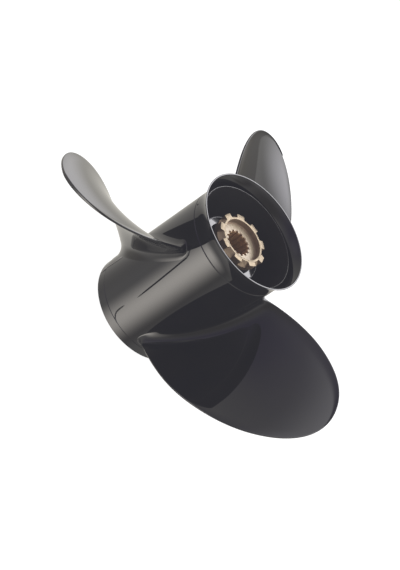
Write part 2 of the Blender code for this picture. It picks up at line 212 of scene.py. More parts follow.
class BronzeSizes(bpy.types.PropertyGroup):
    """The splined drive sleeve and its ring of lugs."""

    radius: length("Sleeve radius", "Outside radius of the sleeve", 0.0173)
    fore_z: length("Sleeve forward end", "Height of the sleeve's forward end", 0.0100)
    flange_radius: length("Flange radius", "Radius of the flange", 0.0260)
    flange_fore_z: length("Flange forward face", "Height of the flange's forward face", 0.1310)
    flange_aft_z: length("Flange aft face", "Height of the flange's aft face", 0.1347)
    seat_z: length("Seat height", "Height of the nut's seat", 0.1343)
    seat_radius: length("Seat radius", "Radius of the nut's flat seat", 0.0192)
    seat_gap: length("Seat gap", "Gap between the seat and the ring of lugs", 0.00003)
    dish_round: length("Dish rounding", "Rounding between the seat and the ring's bore", 0.0016)
    edge: length("Sleeve edge", "Rounding of the sleeve's edges", 0.0004)
    spline_count: IntProperty(name="Splines", description="Number of splines", default=15, min=3)
    spline_major: length("Major radius", "Radius at the bottom of the grooves", 0.01275)
    spline_minor: length("Minor radius", "Radius at the lands", 0.0111)
    spline_groove: angle("Groove angle", "Angle that a groove takes at its bottom", 12.0)
    spline_land: share("Land", "Half a land, as a part of what the grooves leave of the pitch", 0.42)
    spline_knee: share("Knee", "Part of the splines' depth that is eased at each end of a flank", 0.12)
    spline_ease: angle("Corner angle", "Angle over which the splines' corners are eased", 0.5)
    spline_phase: angle("Spline phase", "Angle of the first groove", -5.7)
    spline_mouth: length("Spline mouth", "Chamfer at the aft end of the splines", 0.0007)
    lug_count: IntProperty(name="Lugs", description="Number of lugs", default=9, min=3)
    lug_face_z: length("Lug face", "Height of the machined face", 0.1406)
    lug_tip_radius: length("Lug tip radius", "Radius at the lugs' tips", 0.0267)
    lug_width: length("Lug width", "Width of a lug", 0.0084)
    lug_phase: angle("Lug phase", "Angle of the first lug", 1.5)
    notch_radius: length("Notch radius", "Radius of the notches at the machined face", 0.0228)
    notch_land: length("Notch land", "Height of the face's edge above the sloped notches", 0.0004)
    lug_bevel: length("Lug bevel", "Bevel on the lugs' upright corners", 0.0003)
    face_bevel: length("Face bevel", "Bevel round the machined face", 0.00015)


class FinishColours(bpy.types.PropertyGroup):
    """Colours of the finishes."""

    enamel: colour("Enamel", "Colour of the gloss enamel", (0.0022, 0.0022, 0.0025))
    enamel_warm: colour("Enamel, warm", "The enamel where it lies thicker", (0.0032, 0.0031, 0.0028))
    # The passage's enamel is lighter than the gloss enamel: painted light, for light bounced inside it
    enamel_dull_lightened: colour("Enamel, inside", "The thin enamel in the exhaust passage", (0.024, 0.024, 0.023))
    rubber: colour("Rubber", "Colour of the bushing", (0.016, 0.015, 0.0145))
    bronze: colour("Bronze", "Colour of the cast bronze", (0.27, 0.195, 0.135))
    bronze_dark: colour("Bronze, dark", "The cast bronze in its hollows", (0.21, 0.15, 0.10))
    turned: colour("Turned bronze", "Colour of the turned faces", (0.184, 0.150, 0.103))
    # The seat's colour is a lighter, less metallic copy of the turned bronze's, painted light where the
    # dish wall shades the seat
    faced_lightened: colour("Faced bronze", "Colour of the nut's seat", (0.32, 0.262, 0.175))
    milled: colour("Milled bronze", "Colour of the milled notches", (0.60, 0.455, 0.30))
    # The splined bore's colour is a darker copy of the milled bronze's, painted shade in the bore
    broached_shaded: colour("Broached bronze", "Colour of the splined bore", (0.37, 0.235, 0.125))
    floor: colour("Floor", "Colour of the floor", (0.10, 0.10, 0.10))


class StageSizes(bpy.types.PropertyGroup):
    """The camera, which stands where the photograph was taken from, and the floor."""

    aim: FloatVectorProperty(name="Aim", description="Point in the middle of the picture",
                             default=(0.01114, 0.00513, 0.07253), subtype='XYZ')
    distance: length("Distance", "From the aim to the camera", 1.22861)
    azimuth: angle("Azimuth", "Direction of the camera round the shaft axis", -65.249)
    elevation: angle("Elevation", "Height of the camera above the horizon", 36.832)
    roll: angle("Roll", "Turn of the camera about its own line of sight", -56.068)
    lens: FloatProperty(name="Lens", description="Focal length", default=84.283, unit='CAMERA')
    reach: length("Reach", "Farthest distance that the camera shows", 20.0)
    floor_half: length("Floor", "Half the width of the floor", 30.0)


# Control points of the blades' outline, as arc length from the reference line and radius, from
# the trailing edge at the root, round the tip, to the leading edge at the root
BLADE_OUTLINE = (
    (0.0318, 0.0541),
    (0.0593, 0.0962),
    (0.0753, 0.1372),
    (0.0714, 0.1693),
    (0.0387, 0.1859),
    (-0.0121, 0.1724),
    (-0.0564, 0.1452),
    (-0.0681, 0.1048),
    (-0.0374, 0.0541),
)


# Shapes

def piece_from(name, bm, materials):
    """Turns a bmesh into a named piece that rides on the propeller."""
    bmesh.ops.remove_doubles(bm, verts=bm.verts, dist=MERGE_DISTANCE)
    bmesh.ops.recalc_face_normals(bm, faces=bm.faces)
    mesh = bpy.data.meshes.new(name)
    bm.to_mesh(mesh)
    bm.free()
    mesh.shade_smooth()
    mesh.set_sharp_from_angle(angle=SHARP_ANGLE)
    piece = bpy.data.objects.new(name, mesh)
    bpy.context.scene.collection.objects.link(piece)
    for material in materials:
        mesh.materials.append(material)
    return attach(piece, BODY)


def finish_faces(piece, index, chosen):
    """Gives a material to the faces chosen by their radius, height and the rise of their normal."""
    for polygon in piece.data.polygons:
        if chosen(math.hypot(*polygon.center.xy), polygon.center.z, polygon.normal.z):
            polygon.material_index = index


def spun(profile, steps):
    """Spins a closed profile of (radius, height) points round the shaft axis."""
    bm = bmesh.new()
    verts = [bm.verts.new((radius, 0.0, height)) for radius, height in profile]
    edges = [bm.edges.new((verts[i - 1], verts[i])) for i in range(len(verts))]
    bmesh.ops.spin(bm, geom=verts + edges, cent=(0, 0, 0), axis=(0, 0, 1),
                   angle=math.tau, steps=steps, use_merge=True, use_duplicate=False)
    return bm


def arc(centre, radius, start, end, steps):
    """Points on an arc in the profile plane."""
    turns = [start + (end - start) * i / steps for i in range(steps + 1)]
    return [(centre[0] + radius * math.cos(turn), centre[1] + radius * math.sin(turn))
            for turn in turns]


def rounded(corners):
    """A closed profile with rounded corners, each given as radius, height and rounding."""
    profile = []
    for i, (radius, height, rounding) in enumerate(corners):
        here = Vector((radius, height))
        if rounding == 0:
            profile.append((radius, height))
            continue
        back = Vector(corners[i - 1][:2]) - here
        on = Vector(corners[(i + 1) % len(corners)][:2]) - here
        half = back.angle(on) / 2
        setback = rounding / math.tan(half)
        centre = here + (back.normalized() + on.normalized()).normalized() * rounding / math.sin(half)
        first = here + back.normalized() * setback - centre
        last = here + on.normalized() * setback - centre
        start = math.atan2(first.y, first.x)
        turn = math.atan2(first.x * last.y - first.y * last.x, first.dot(last))
        curve = arc(centre, rounding, start, start + turn, ARC_STEPS)
        if back.length > HOLD_ROOM * (setback + HOLD):
            curve.insert(0, tuple(here + back.normalized() * (setback + HOLD)))
        if on.length > HOLD_ROOM * (setback + HOLD):
            curve.append(tuple(here + on.normalized() * (setback + HOLD)))
        profile += curve
    return profile


def extruded_ring(bm, ring, points):
    """Extrudes a closed ring of vertices and moves the new ring to the given points."""
    edges = [bm.edges.get((ring[i - 1], ring[i])) for i in range(len(ring))]
    made = bmesh.ops.extrude_edge_only(bm, edges=edges)["geom"]
    new = {item for item in made if isinstance(item, bmesh.types.BMVert)}
    moved = []
    for vert, point in zip(ring, points):
        twin = next(edge.other_vert(vert) for edge in vert.link_edges if edge.other_vert(vert) in new)
        twin.co = point
        moved.append(twin)
    return moved


def lofted(sections, closed=False):
    """A skin through closed sections with the same number of points, capped unless it closes."""
    bm = bmesh.new()
    ring = bmesh.ops.create_circle(bm, segments=len(sections[0]), radius=1.0)["verts"]
    for vert, point in zip(ring, sections[0]):
        vert.co = point
    for section in sections[1:] + sections[:1] * closed:
        ring = extruded_ring(bm, ring, section)
    if closed:
        bmesh.ops.remove_doubles(bm, verts=bm.verts, dist=MERGE_DISTANCE)
    else:
        open_edges = [edge for edge in bm.edges if edge.is_boundary]
        bmesh.ops.holes_fill(bm, edges=open_edges, sides=0)
    return bm


def lofted_at_blade(sections, number, count):
    """A skin through sections made at blade 1, turned to the blade of the given number."""
    bm = lofted(sections)
    turn = Matrix.Rotation(math.tau * (number - 1) / count, 4, 'Z')
    bmesh.ops.transform(bm, matrix=turn, verts=bm.verts)
    return bm


# The barrel

def barrel_radius(barrel, height):
    """The barrel's outside radius at a height: it narrows a little towards the flare."""
    along = (height - barrel.band_height) / (barrel.seam_z - barrel.band_height)
    return barrel.fore_radius + (barrel.aft_radius - barrel.fore_radius) * along


def flare_profile(barrel):
    """The outward sweep, the flat lip, the hollow slope inside it and the small ledge."""
    rounding = barrel.lip_round
    lip_z = LIP_Z - rounding
    rise = lip_z - barrel.flare_z
    spread = barrel.lip_radius - barrel.aft_radius
    sweep = (rise * rise + spread * spread) / (2 * spread)
    last = math.asin(rise / sweep)
    outside = arc((barrel.aft_radius + sweep, barrel.flare_z), sweep,
                  math.pi, math.pi - last, FLARE_STEPS)
    inner = barrel.lip_radius - barrel.lip_thickness + rounding
    lip = arc((barrel.lip_radius - rounding, lip_z), rounding, 0.0, math.pi / 2, LIP_STEPS)[1:]
    lip += arc((inner, lip_z), rounding, math.pi / 2, math.pi, LIP_STEPS)
    foot = (barrel.bore_radius + barrel.ledge_width, barrel.ledge_z + barrel.ledge_hollow)
    slope = bowed(lip[-1], foot, math.pi / 2 - barrel.slope_lean, SLOPE_STEPS)
    corner = (foot[0] - barrel.ledge_hollow, foot[1])
    ledge = arc(corner, barrel.ledge_hollow, 0.0, -math.pi / 2, ARC_STEPS)[1:]
    edge = (barrel.bore_radius + barrel.ledge_round, barrel.ledge_z - barrel.ledge_round)
    ledge += arc(edge, barrel.ledge_round, math.pi / 2, math.pi, LEDGE_STEPS)
    return outside + lip + slope + ledge + [(barrel.bore_radius, edge[1] - HOLD)]


def bowed(start, end, direction, steps):
    """Points after the start on the arc that runs into the end with the given direction."""
    chord = Vector(start) - Vector(end)
    off = math.atan2(chord.y, chord.x) - direction
    radius = chord.length / 2 / math.sin(-off)
    centre = Vector(end) + radius * Vector((math.sin(direction), -math.cos(direction)))
    first = Vector(start) - centre
    last = Vector(end) - centre
    turn = math.atan2(first.x * last.y - first.y * last.x, first.dot(last))
    begin = math.atan2(first.y, first.x)
    return arc(centre, abs(radius), begin, begin + turn, steps)[1:]


def barrel_profile(barrel):
    """Closed profile of the whole barrel, from the forward rim out, up and down the bore."""
    seam = barrel.aft_radius - barrel.seam_depth
    half = barrel.seam_width / 2
    step = barrel.fore_radius - barrel.band_radius
    edge = barrel.edge_round
    outside = rounded([
        (barrel.bore_radius, barrel.chamfer, edge),
        (barrel.bore_radius + barrel.chamfer, RIM_Z, edge),
        (barrel.band_radius - barrel.chamfer, RIM_Z, 1.5 * edge),
        (barrel.band_radius, barrel.chamfer, 2 * edge),
        (barrel.band_radius, barrel.band_height - 2 * step, edge / 2),
        (barrel.band_radius - step, barrel.band_height - step, edge / 2),
        (barrel.fore_radius, barrel.band_height + step / 2, edge),
        (barrel_radius(barrel, barrel.seam_z - half), barrel.seam_z - half, barrel.seam_round),
        (seam, barrel.seam_z, 1.6 * barrel.seam_round),
        (barrel.aft_radius, barrel.seam_z + half, barrel.seam_round),
        (barrel.aft_radius, barrel.flare_z, 0),
        (barrel.bore_radius, barrel.flare_z, 0),
    ])
    return outside[:-2] + flare_profile(barrel)


class PROPELLER_OT_barrel(bpy.types.Operator):
    """Adds the barrel with its forward band, joint line and flared lip"""

    bl_idname = "propeller.barrel"
    bl_label = "Barrel"

    def execute(self, context):
        sizes = context.scene.propeller_barrel
        bm = spun(barrel_profile(sizes), TURN_STEPS)
        looks = [enamel_material(context), lightened_enamel_material(context)]
        # The passage's faces get the rougher enamel, whose lighter colour is painted light
        passage_lightened = 1
        piece = piece_from("painted_barrel", bm, looks)
        passage = sizes.bore_radius + HOLD
        finish_faces(piece, passage_lightened, lambda radius, z, rise: radius < passage and z < sizes.ledge_z)
        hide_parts("barrel", "front_band", "diffuser_ring")
        return {'FINISHED'}


# The mould's joints

# The ridges beside blade 3, as points of height above the rim, angle round the axis in degrees, and
# share of full height: a long one down from the trailing edge's root, one whose hooked end turns
# towards the next blade's root, and one forward of the blade. They are repeated at every blade
FLASH_LINES = (
    ((0.1225, 275.6, 0.6), (0.1190, 278.4, 1.0), (0.1155, 279.7, 1.0), (0.0980, 281.1, 1.0),
     (0.0780, 282.5, 1.0), (0.0600, 283.6, 1.0), (0.0500, 284.2, 0.7), (0.0440, 284.5, 0.0)),
    ((0.0300, 283.3, 0.0), (0.0260, 283.4, 0.8), (0.0200, 283.6, 1.0), (0.0165, 284.3, 1.0),
     (0.0140, 285.8, 1.0), (0.0118, 288.6, 1.0), (0.0110, 292.0, 0.8), (0.0108, 298.0, 0.5),
     (0.0110, 305.0, 0.0)),
    ((0.0350, 229.9, 0.0), (0.0327, 229.8, 0.8), (0.0280, 229.7, 1.0), (0.0227, 229.6, 1.0),
     (0.0106, 228.6, 1.0), (0.0070, 229.4, 0.8), (0.0022, 231.4, 0.0)),
)

# A ridge's section with a sharp crest and its foot in the wall, in half widths and in heights
GABLE = ((1.0, 0.0), (0.5, 0.5), (0.0, 1.0), (-0.5, 0.5), (-1.0, 0.0), (-1.0, -0.4), (1.0, -0.4))

# How far a ridge is sunk in the wall, in heights: all along it, and where it has faded out
RIDGE_SUNK = 0.05
END_SUNK = 0.1


def barrel_skin(barrel, height, turn, above):
    """A point so far above the barrel's outside skin."""
    radius = above + barrel_radius(barrel, max(height, barrel.band_height))
    return Vector((radius * math.cos(turn), radius * math.sin(turn), height))


def flash_sections(flash, barrel, line):
    """Gable sections along a ridge, each rooted in the barrel's wall."""
    half = flash.width / 2
    points = [(height, math.radians(degrees), part) for height, degrees, part in line]
    sections = []
    for i, (height, turn, part) in enumerate(points):
        before = points[max(i - 1, 0)]
        after = points[min(i + 1, len(points) - 1)]
        run = (barrel_skin(barrel, after[0], after[1], 0.0)
               - barrel_skin(barrel, before[0], before[1], 0.0)).normalized()
        centre = barrel_skin(barrel, height, turn, -RIDGE_SUNK * flash.height)
        out = Vector((centre.x, centre.y, 0.0)).normalized()
        side = run.cross(out).normalized()
        sunk = (1 - part) * END_SUNK * flash.height * out
        sections.append([centre + part * (half * across * side + flash.height * up * out) - sunk
                         for across, up in GABLE])
    return sections


class PROPELLER_OT_flash(bpy.types.Operator):
    """Adds the fine ridges between the blades' roots and the small nub below the flare"""

    bl_idname = "propeller.flash"
    bl_label = "Mould Lines"

    def execute(self, context):
        flash = context.scene.propeller_flash
        barrel = context.scene.propeller_barrel
        count = context.scene.propeller_blades.count
        for number in range(1, count + 1):
            for letter, line in zip("abc", FLASH_LINES):
                bm = lofted_at_blade(flash_sections(flash, barrel, line), number, count)
                name = "mould_line_%d%s" % (number, letter)
                piece_from(name, bm, [enamel_material(context)])
        bm = bmesh.new()
        bmesh.ops.create_uvsphere(bm, u_segments=32, v_segments=16, radius=flash.nub_radius)
        bmesh.ops.scale(bm, vec=(1, 1, flash.nub_height / flash.nub_radius), verts=bm.verts)
        out = Vector((math.cos(flash.nub_turn), math.sin(flash.nub_turn), 0.0))
        place = barrel_skin(barrel, flash.nub_z, flash.nub_turn, 0.0)
        lean = out.to_track_quat('Z', 'Y').to_matrix().to_4x4()
        bmesh.ops.transform(bm, matrix=Matrix.Translation(place) @ lean, verts=bm.verts)
        piece_from("casting_nub", bm, [enamel_material(context)])
        return {'FINISHED'}


# The blades

# Steps along the whole outline. Below the barrel's skin an edge runs straight on, in the direction
# of its first few points and for so many times their length
OUTLINE_STEPS = 900
ROOT_POINTS = 8
ROOT_REACH = 8

# Rounds in which a section settles on the tapered barrel
TAPER_ROUNDS = 4

# A blade's sections: angles down its root fillet in degrees, then steps that crowd towards the tip
# by this power and end at this distance from it, and the distances of the last ones
FILLET_TURNS = (87, 83, 76, 68, 59, 49, 38, 26, 13, 0)
SPAN_STEPS = 60
SPAN_POWER = 1.4
SPAN_END = 0.0022
TIP_DISTANCES = (0.0016, 0.0011, 0.0008, 0.0005, 0.0003, 0.00015, 0.00006, 0.00001)

# A section's points: the most of its half width that a round edge takes, the steps in that edge
# and from there to the middle, and how much of their spacing is even and not closer at the edge
NOSE_MOST = 0.3
NOSE_STEPS = 6
CHORD_STEPS = 26
CHORD_EVEN = 0.6


def spline_point(controls, along):
    """A point on the clamped cubic B-spline through the given control points."""
    degree = 3
    spans = len(controls) - degree
    knots = [0.0] * degree + [i / spans for i in range(spans + 1)] + [1.0] * degree
    span = min(int(along * spans), spans - 1) + degree
    work = [Vector(controls[i]) for i in range(span - degree, span + 1)]
    for level in range(1, degree + 1):
        for j in range(degree, level - 1, -1):
            i = span - degree + j
            weight = (along - knots[i]) / (knots[i + degree + 1 - level] - knots[i])
            work[j] = work[j - 1] * (1 - weight) + work[j] * weight
    return work[degree]


class BladeSurface:
    """The blade's surface, worked out for arrays of points from its sizes."""

    def __init__(self, blade, barrel):
        self.blade = blade
        self.barrel = barrel
        curve = np.array([spline_point(BLADE_OUTLINE, i / OUTLINE_STEPS)
                          for i in range(OUTLINE_STEPS + 1)])
        top = int(np.argmax(curve[:, 1]))
        self.tip_arc, self.tip = curve[top]
        self.trailing = self.below_root(curve[:top + 1])
        self.leading = self.below_root(curve[:top - 1:-1])
        self.rim = np.array([self.flattened(arc_length, radius) for arc_length, radius in curve])

    @staticmethod
    def below_root(edge):
        """Carries an edge straight on towards the axis."""
        foot = edge[0] - (edge[ROOT_POINTS] - edge[0]) * ROOT_REACH
        return np.vstack([foot, edge])

    def lead(self, radius):
        """Rise of the blade's face for each radian of turn, from the pitch at three radii."""
        blade = self.blade
        out = (radius - blade.root_radius) / (blade.tip_radius - blade.root_radius)
        bend = 2 * (blade.pitch_root + blade.pitch_tip - 2 * blade.pitch_middle)
        slope = blade.pitch_tip - blade.pitch_root - bend
        return (blade.pitch_root + slope * out + bend * out * out) / math.tau

    def rake(self, radius):
        """How far aft the reference line has swept at a radius."""
        blade = self.blade
        out = radius - blade.root_radius
        fall = math.tan(blade.rake_root) - math.tan(blade.rake_tip)
        fall /= 2 * (blade.tip_radius - blade.root_radius)
        past = np.maximum(0.0, radius - blade.bend_radius) / (blade.tip_radius - blade.bend_radius)
        return math.tan(blade.rake_root) * out - fall * out * out - blade.tip_bend * past * past

    def edges(self, radius):
        """Arc lengths of the trailing and the leading edge at a radius."""
        return (np.interp(radius, self.trailing[:, 1], self.trailing[:, 0]),
                np.interp(radius, self.leading[:, 1], self.leading[:, 0]))

    def flattened(self, arc_length, radius):
        """A point of the outline laid flat, with distances along the blade kept."""
        helix = math.atan2(self.lead(radius), radius)
        return arc_length / math.cos(helix), radius

    def edge_distance(self, arc_length, radius):
        """Distance of each point from the blade's rim."""
        helix = np.arctan2(self.lead(radius), radius)
        points = np.stack([arc_length / np.cos(helix), radius], axis=-1)
        start = self.rim[:-1]
        run = self.rim[1:] - start
        offset = points[:, None, :] - start[None]
        along = np.clip((offset * run).sum(-1) / (run * run).sum(-1), 0.0, 1.0)
        return np.linalg.norm(offset - along[..., None] * run, axis=-1).min(-1)

    def middle(self, radius):
        """Half chord, helix angle, and the middle's arc length and height, at a radius."""
        trailing, leading = self.edges(radius)
        lead = self.lead(radius)
        helix = np.arctan2(lead, radius)
        half_chord = (trailing - leading) / 2 / np.cos(helix)
        centre = (trailing + leading) / 2
        height = self.blade.reference_z + self.rake(radius) + lead * centre / radius
        return half_chord, helix, centre, height

    def local_radius(self, radius, reach):
        """Radius of each point of a section, which follows the tapered barrel near the root."""
        blade = self.blade
        out = np.clip((radius - blade.root_radius - blade.taper_hold) / blade.taper_fade, 0.0, 1.0)
        hold = 1 - out * out * (3 - 2 * out)
        local = np.full_like(reach, radius)
        for _ in range(TAPER_ROUNDS):
            half_chord, helix, _, height = self.middle(local)
            height = height + reach * half_chord * np.sin(helix)
            local = radius + hold * (barrel_radius(self.barrel, height) - blade.root_radius)
        return local

    def section(self, radius):
        """One closed section, as points in space: over the aft face, and back on the forward face."""
        blade = self.blade
        fillet = self.fillet_spread(blade.fillet, radius)
        half = blade.edge / 2 + fillet
        beyond = blade.fillet_end * fillet
        reach = section_reach(half / (self.middle(radius)[0] + beyond))
        local = self.local_radius(radius, reach)
        half_chord, helix, centre, height = self.middle(local)
        along = reach * (half_chord + beyond)
        arc_length = centre + along * np.cos(helix)
        out = np.clip((local - blade.rim_radius) / blade.rim_fade, 0.0, 1.0)
        inward = half_chord + beyond - abs(along)
        square = np.minimum(self.edge_distance(arc_length, local), inward)
        inward = inward + (square - inward) * out
        power = 2 + (blade.edge_square - 2) * (blade.edge / 2 / half) ** 2
        forward = half * swelling(inward / half, power)
        aft = self.aft_face(radius, along, inward, power)
        flat = np.maximum(half_chord - blade.edge / 2, MERGE_DISTANCE)
        place = np.clip(along / flat, -1.0, 1.0)
        cup = blade.cup * np.maximum(0.0, (place - blade.cup_start) / (1 - blade.cup_start)) ** 2
        bend = cup - self.roll(arc_length, inward, out)
        crown = self.crown(local) * np.minimum(1.0, half_chord / blade.crown_chord) * (1 - place ** 2)
        upper = self.in_space(local, centre, height, helix, along, bend + aft)
        lower = self.in_space(local, centre, height, helix, along, bend - forward - crown)
        return [Vector(point) for point in np.vstack([upper, lower[-2:0:-1]])]

    def aft_face(self, radius, along, inward, power):
        """Height of the aft face, whose fillet is drawn out to a beak at the leading edge."""
        blade = self.blade
        spread = self.fillet_spread(blade.fillet_aft, radius)
        half = blade.edge / 2 + spread
        drawn = np.where(along < 0, 1 + blade.beak * min(1.0, spread / blade.fillet_aft), 1.0)
        return half * swelling(inward / half / drawn, power)

    def roll(self, arc_length, inward, out):
        """How far the rim bends forward, along the leading edge from the tip inwards."""
        blade = self.blade
        bent = blade.roll * out * np.maximum(0.0, 1 - inward / blade.roll_width) ** 2
        return bent * np.clip((self.tip_arc - arc_length) / blade.roll_fade, 0.0, 1.0)

    def fillet_spread(self, fillet, radius):
        """How far a fillet of that radius stands out from the blade, at a radius of the section."""
        height = radius - self.blade.root_radius
        if height <= 0:
            return fillet + self.blade.fillet_skirt
        left = max(0.0, fillet - height)
        return fillet - math.sqrt(fillet * fillet - left * left)

    def crown(self, radius):
        """Extra thickness of the forward face at mid-chord."""
        blade = self.blade
        out = np.clip((radius - blade.root_radius) / (blade.tip_radius - blade.root_radius), 0, 1)
        return blade.crown_root + (blade.crown_tip - blade.crown_root) * out

    @staticmethod
    def in_space(radius, centre, height, helix, along, above):
        """Points a distance along and above the helix, wrapped round the shaft axis."""
        turn = (centre + along * np.cos(helix) - above * np.sin(helix)) / radius
        rise = height + along * np.sin(helix) + above * np.cos(helix)
        return np.stack([radius * np.cos(turn), radius * np.sin(turn), rise], axis=-1)

    def stations(self):
        """Radius of each section, from under the barrel's skin to the tip."""
        blade = self.blade
        root = blade.root_radius
        stations = [root - blade.root_depth, root]
        for degrees in FILLET_TURNS:
            stations.append(root + blade.fillet * (1 - math.sin(math.radians(degrees))))
        start = root + blade.fillet
        for i in range(1, SPAN_STEPS + 1):
            left = 1 - i / SPAN_STEPS
            back = (self.tip - start) * left ** SPAN_POWER + SPAN_END * (1 - left)
            stations.append(self.tip - back)
        return stations + [self.tip - back for back in TIP_DISTANCES]


def swelling(inward, power):
    """Height of a rounded edge, from nothing to one, at a distance in from its end."""
    return (1 - (1 - np.clip(inward, 0.0, 1.0)) ** power) ** (1 / power)


def section_reach(nose):
    """Places across a section, from the trailing edge at 1 to the leading edge at -1."""
    nose = min(nose, NOSE_MOST)
    ends = [1 - nose * (1 - math.cos(math.pi / 2 * i / NOSE_STEPS)) for i in range(NOSE_STEPS)]
    middle = []
    for i in range(CHORD_STEPS, -CHORD_STEPS - 1, -1):
        even = i / CHORD_STEPS
        middle.append((1 - nose) * (CHORD_EVEN * even + (1 - CHORD_EVEN) * math.sin(math.pi / 2 * even)))
    return np.array(ends + middle + [-end for end in reversed(ends)])


class PROPELLER_OT_blades(bpy.types.Operator):
    """Adds the blades, with their round edges and root fillets"""

    bl_idname = "propeller.blades"
    bl_label = "Blades"

    def execute(self, context):
        sizes = context.scene.propeller_blades
        surface = BladeSurface(sizes, context.scene.propeller_barrel)
        sections = [surface.section(radius) for radius in surface.stations()]
        for number in range(1, sizes.count + 1):
            bm = lofted_at_blade(sections, number, sizes.count)
            piece = piece_from("painted_blade_%d" % number, bm, [enamel_material(context)])
            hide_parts("blade_%d" % number)
        return {'FINISHED'}


# The inner hub

def hub_profile(hub):
    """Closed profile of the inner hub."""
    edge = hub.rounding
    face_z = hub.aft_z - hub.bead_height
    return rounded([
        (hub.bore_radius, hub.fore_z, edge / 2),
        (hub.radius, hub.fore_z, edge),
        (hub.radius, hub.aft_z, edge),
        (hub.radius - hub.bead_width, hub.aft_z, edge / 2),
        (hub.radius - hub.bead_width - hub.bead_height, face_z, edge / 2),
        (hub.shoulder_radius, face_z, edge / 2),
        (hub.shoulder_radius, hub.shoulder_z, edge / 4),
        (hub.bore_radius, hub.shoulder_z, edge / 4),
    ])


def rib_section(hub, radius, spread):
    """A rounded rectangle round a rib, wrapped onto a cylinder and grown by its fillet."""
    half = Vector((hub.rib_thickness / 2, (hub.rib_aft_z - hub.rib_fore_z) / 2))
    middle = (hub.rib_aft_z + hub.rib_fore_z) / 2
    points = []
    for quarter, (side, end) in enumerate(((1, 1), (-1, 1), (-1, -1), (1, -1))):
        corner = Vector((side * (half.x - hub.rib_round), end * (half.y - hub.rib_round)))
        for y, z in arc(corner, hub.rib_round + spread, quarter * math.pi / 2,
                        (quarter + 1) * math.pi / 2, RIB_CORNER_STEPS):
            points.append(Vector((math.sqrt(radius * radius - y * y), y, middle + z)))
    return points


def rib_sections(hub, barrel):
    """Sections of a rib, from inside the hub's wall to inside the barrel's wall."""
    fillet = hub.rib_fillet
    turns = [math.radians(degrees) for degrees in (90, 86, 80, 70, 58, 44, 30, 15, 0)]
    curve = [(fillet * (1 - math.sin(turn)), fillet * (1 - math.cos(turn))) for turn in turns]
    stations = [(hub.radius - hub.rib_depth, fillet)]
    stations += [(hub.radius + away, spread) for away, spread in curve]
    stations += [(barrel.bore_radius - away, spread) for away, spread in reversed(curve)]
    stations.append((barrel.bore_radius + hub.rib_depth, fillet))
    return [rib_section(hub, radius, spread) for radius, spread in stations]


class PROPELLER_OT_hub(bpy.types.Operator):
    """Adds the inner hub and the ribs that carry it in the barrel"""

    bl_idname = "propeller.hub"
    bl_label = "Hub and Ribs"

    def execute(self, context):
        hub = context.scene.propeller_hub
        count = context.scene.propeller_blades.count
        piece = piece_from("painted_hub", spun(hub_profile(hub), HUB_STEPS), [enamel_material(context)])
        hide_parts("inner_hub")
        sections = rib_sections(hub, context.scene.propeller_barrel)
        for number in range(1, count + 1):
            bm = lofted_at_blade(sections, number, count)
            piece = piece_from("painted_rib_%d" % number, bm, [enamel_material(context)])
            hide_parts("exhaust_rib_%d" % number)
        return {'FINISHED'}


class PROPELLER_OT_bushing(bpy.types.Operator):
    """Adds the rubber between the hub and the sleeve"""

    bl_idname = "propeller.bushing"
    bl_label = "Rubber Bushing"

    def execute(self, context):
        hub = context.scene.propeller_hub
        bronze = context.scene.propeller_bronze
        gap, edge = hub.bushing_gap, hub.bushing_round
        profile = rounded([
            (bronze.radius + gap, hub.bushing_fore_z, 0.6 * edge),
            (hub.bore_radius - gap, hub.bushing_fore_z, edge),
            (hub.bore_radius - gap, hub.shoulder_z - gap, 0.4 * edge),
            (hub.bushing_neck, hub.shoulder_z - gap, 0.3 * edge),
            (hub.bushing_neck, bronze.flange_fore_z - gap, 0.4 * edge),
            (bronze.radius + gap, bronze.flange_fore_z - gap, 0.3 * edge),
        ])
        piece = piece_from("moulded_bushing", spun(profile, HUB_STEPS), [rubber_material(context)])
        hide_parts("rubber_bushing")
        return {'FINISHED'}


# The bronze

# Places of the finishes among a bronze piece's materials, after the cast bronze
TURNED, MILLED, BROACHED_SHADED, FACED_LIT = 1, 2, 3, 4

# The rise of a face's normal, which is 1 on a level face: the least on the nut's seat, the least on
# the lugs' machined face with its bevel, and the range on the sloped notches
SEAT_RISE = 0.9
FACE_RISE = 0.55
NOTCH_RISE = (0.3, 0.8)

# Bends that count as corners when the ring of lugs is bevelled: upright ones, and its face's rim
UPRIGHT_BEND = math.radians(30)
RIM_BEND = math.radians(60)

# Steps across half a lug's tip, and along a notch
LUG_STEPS = 4
NOTCH_STEPS = 6


def spline_angles(bronze):
    """Angles of the bore's points with their radii, tooth by tooth, and the corners eased."""
    pitch = math.tau / bronze.spline_count
    groove = bronze.spline_groove / 2
    land = bronze.spline_land * (pitch - bronze.spline_groove)
    ease = bronze.spline_ease
    low, high = bronze.spline_minor, bronze.spline_major
    knee = (high - low) * bronze.spline_knee
    tooth = [
        (-pitch / 2, low),
        (-pitch / 2 + land - ease, low),
        (-pitch / 2 + land + ease / 2, low + knee),
        (-groove - ease / 2, high - knee),
        (-groove + ease, high),
        (0.0, high),
        (groove - ease, high),
        (groove + ease / 2, high - knee),
        (pitch / 2 - land - ease / 2, low + knee),
        (pitch / 2 - land + ease, low),
    ]
    return [(bronze.spline_phase + i * pitch + turn, radius)
            for i in range(bronze.spline_count) for turn, radius in tooth]


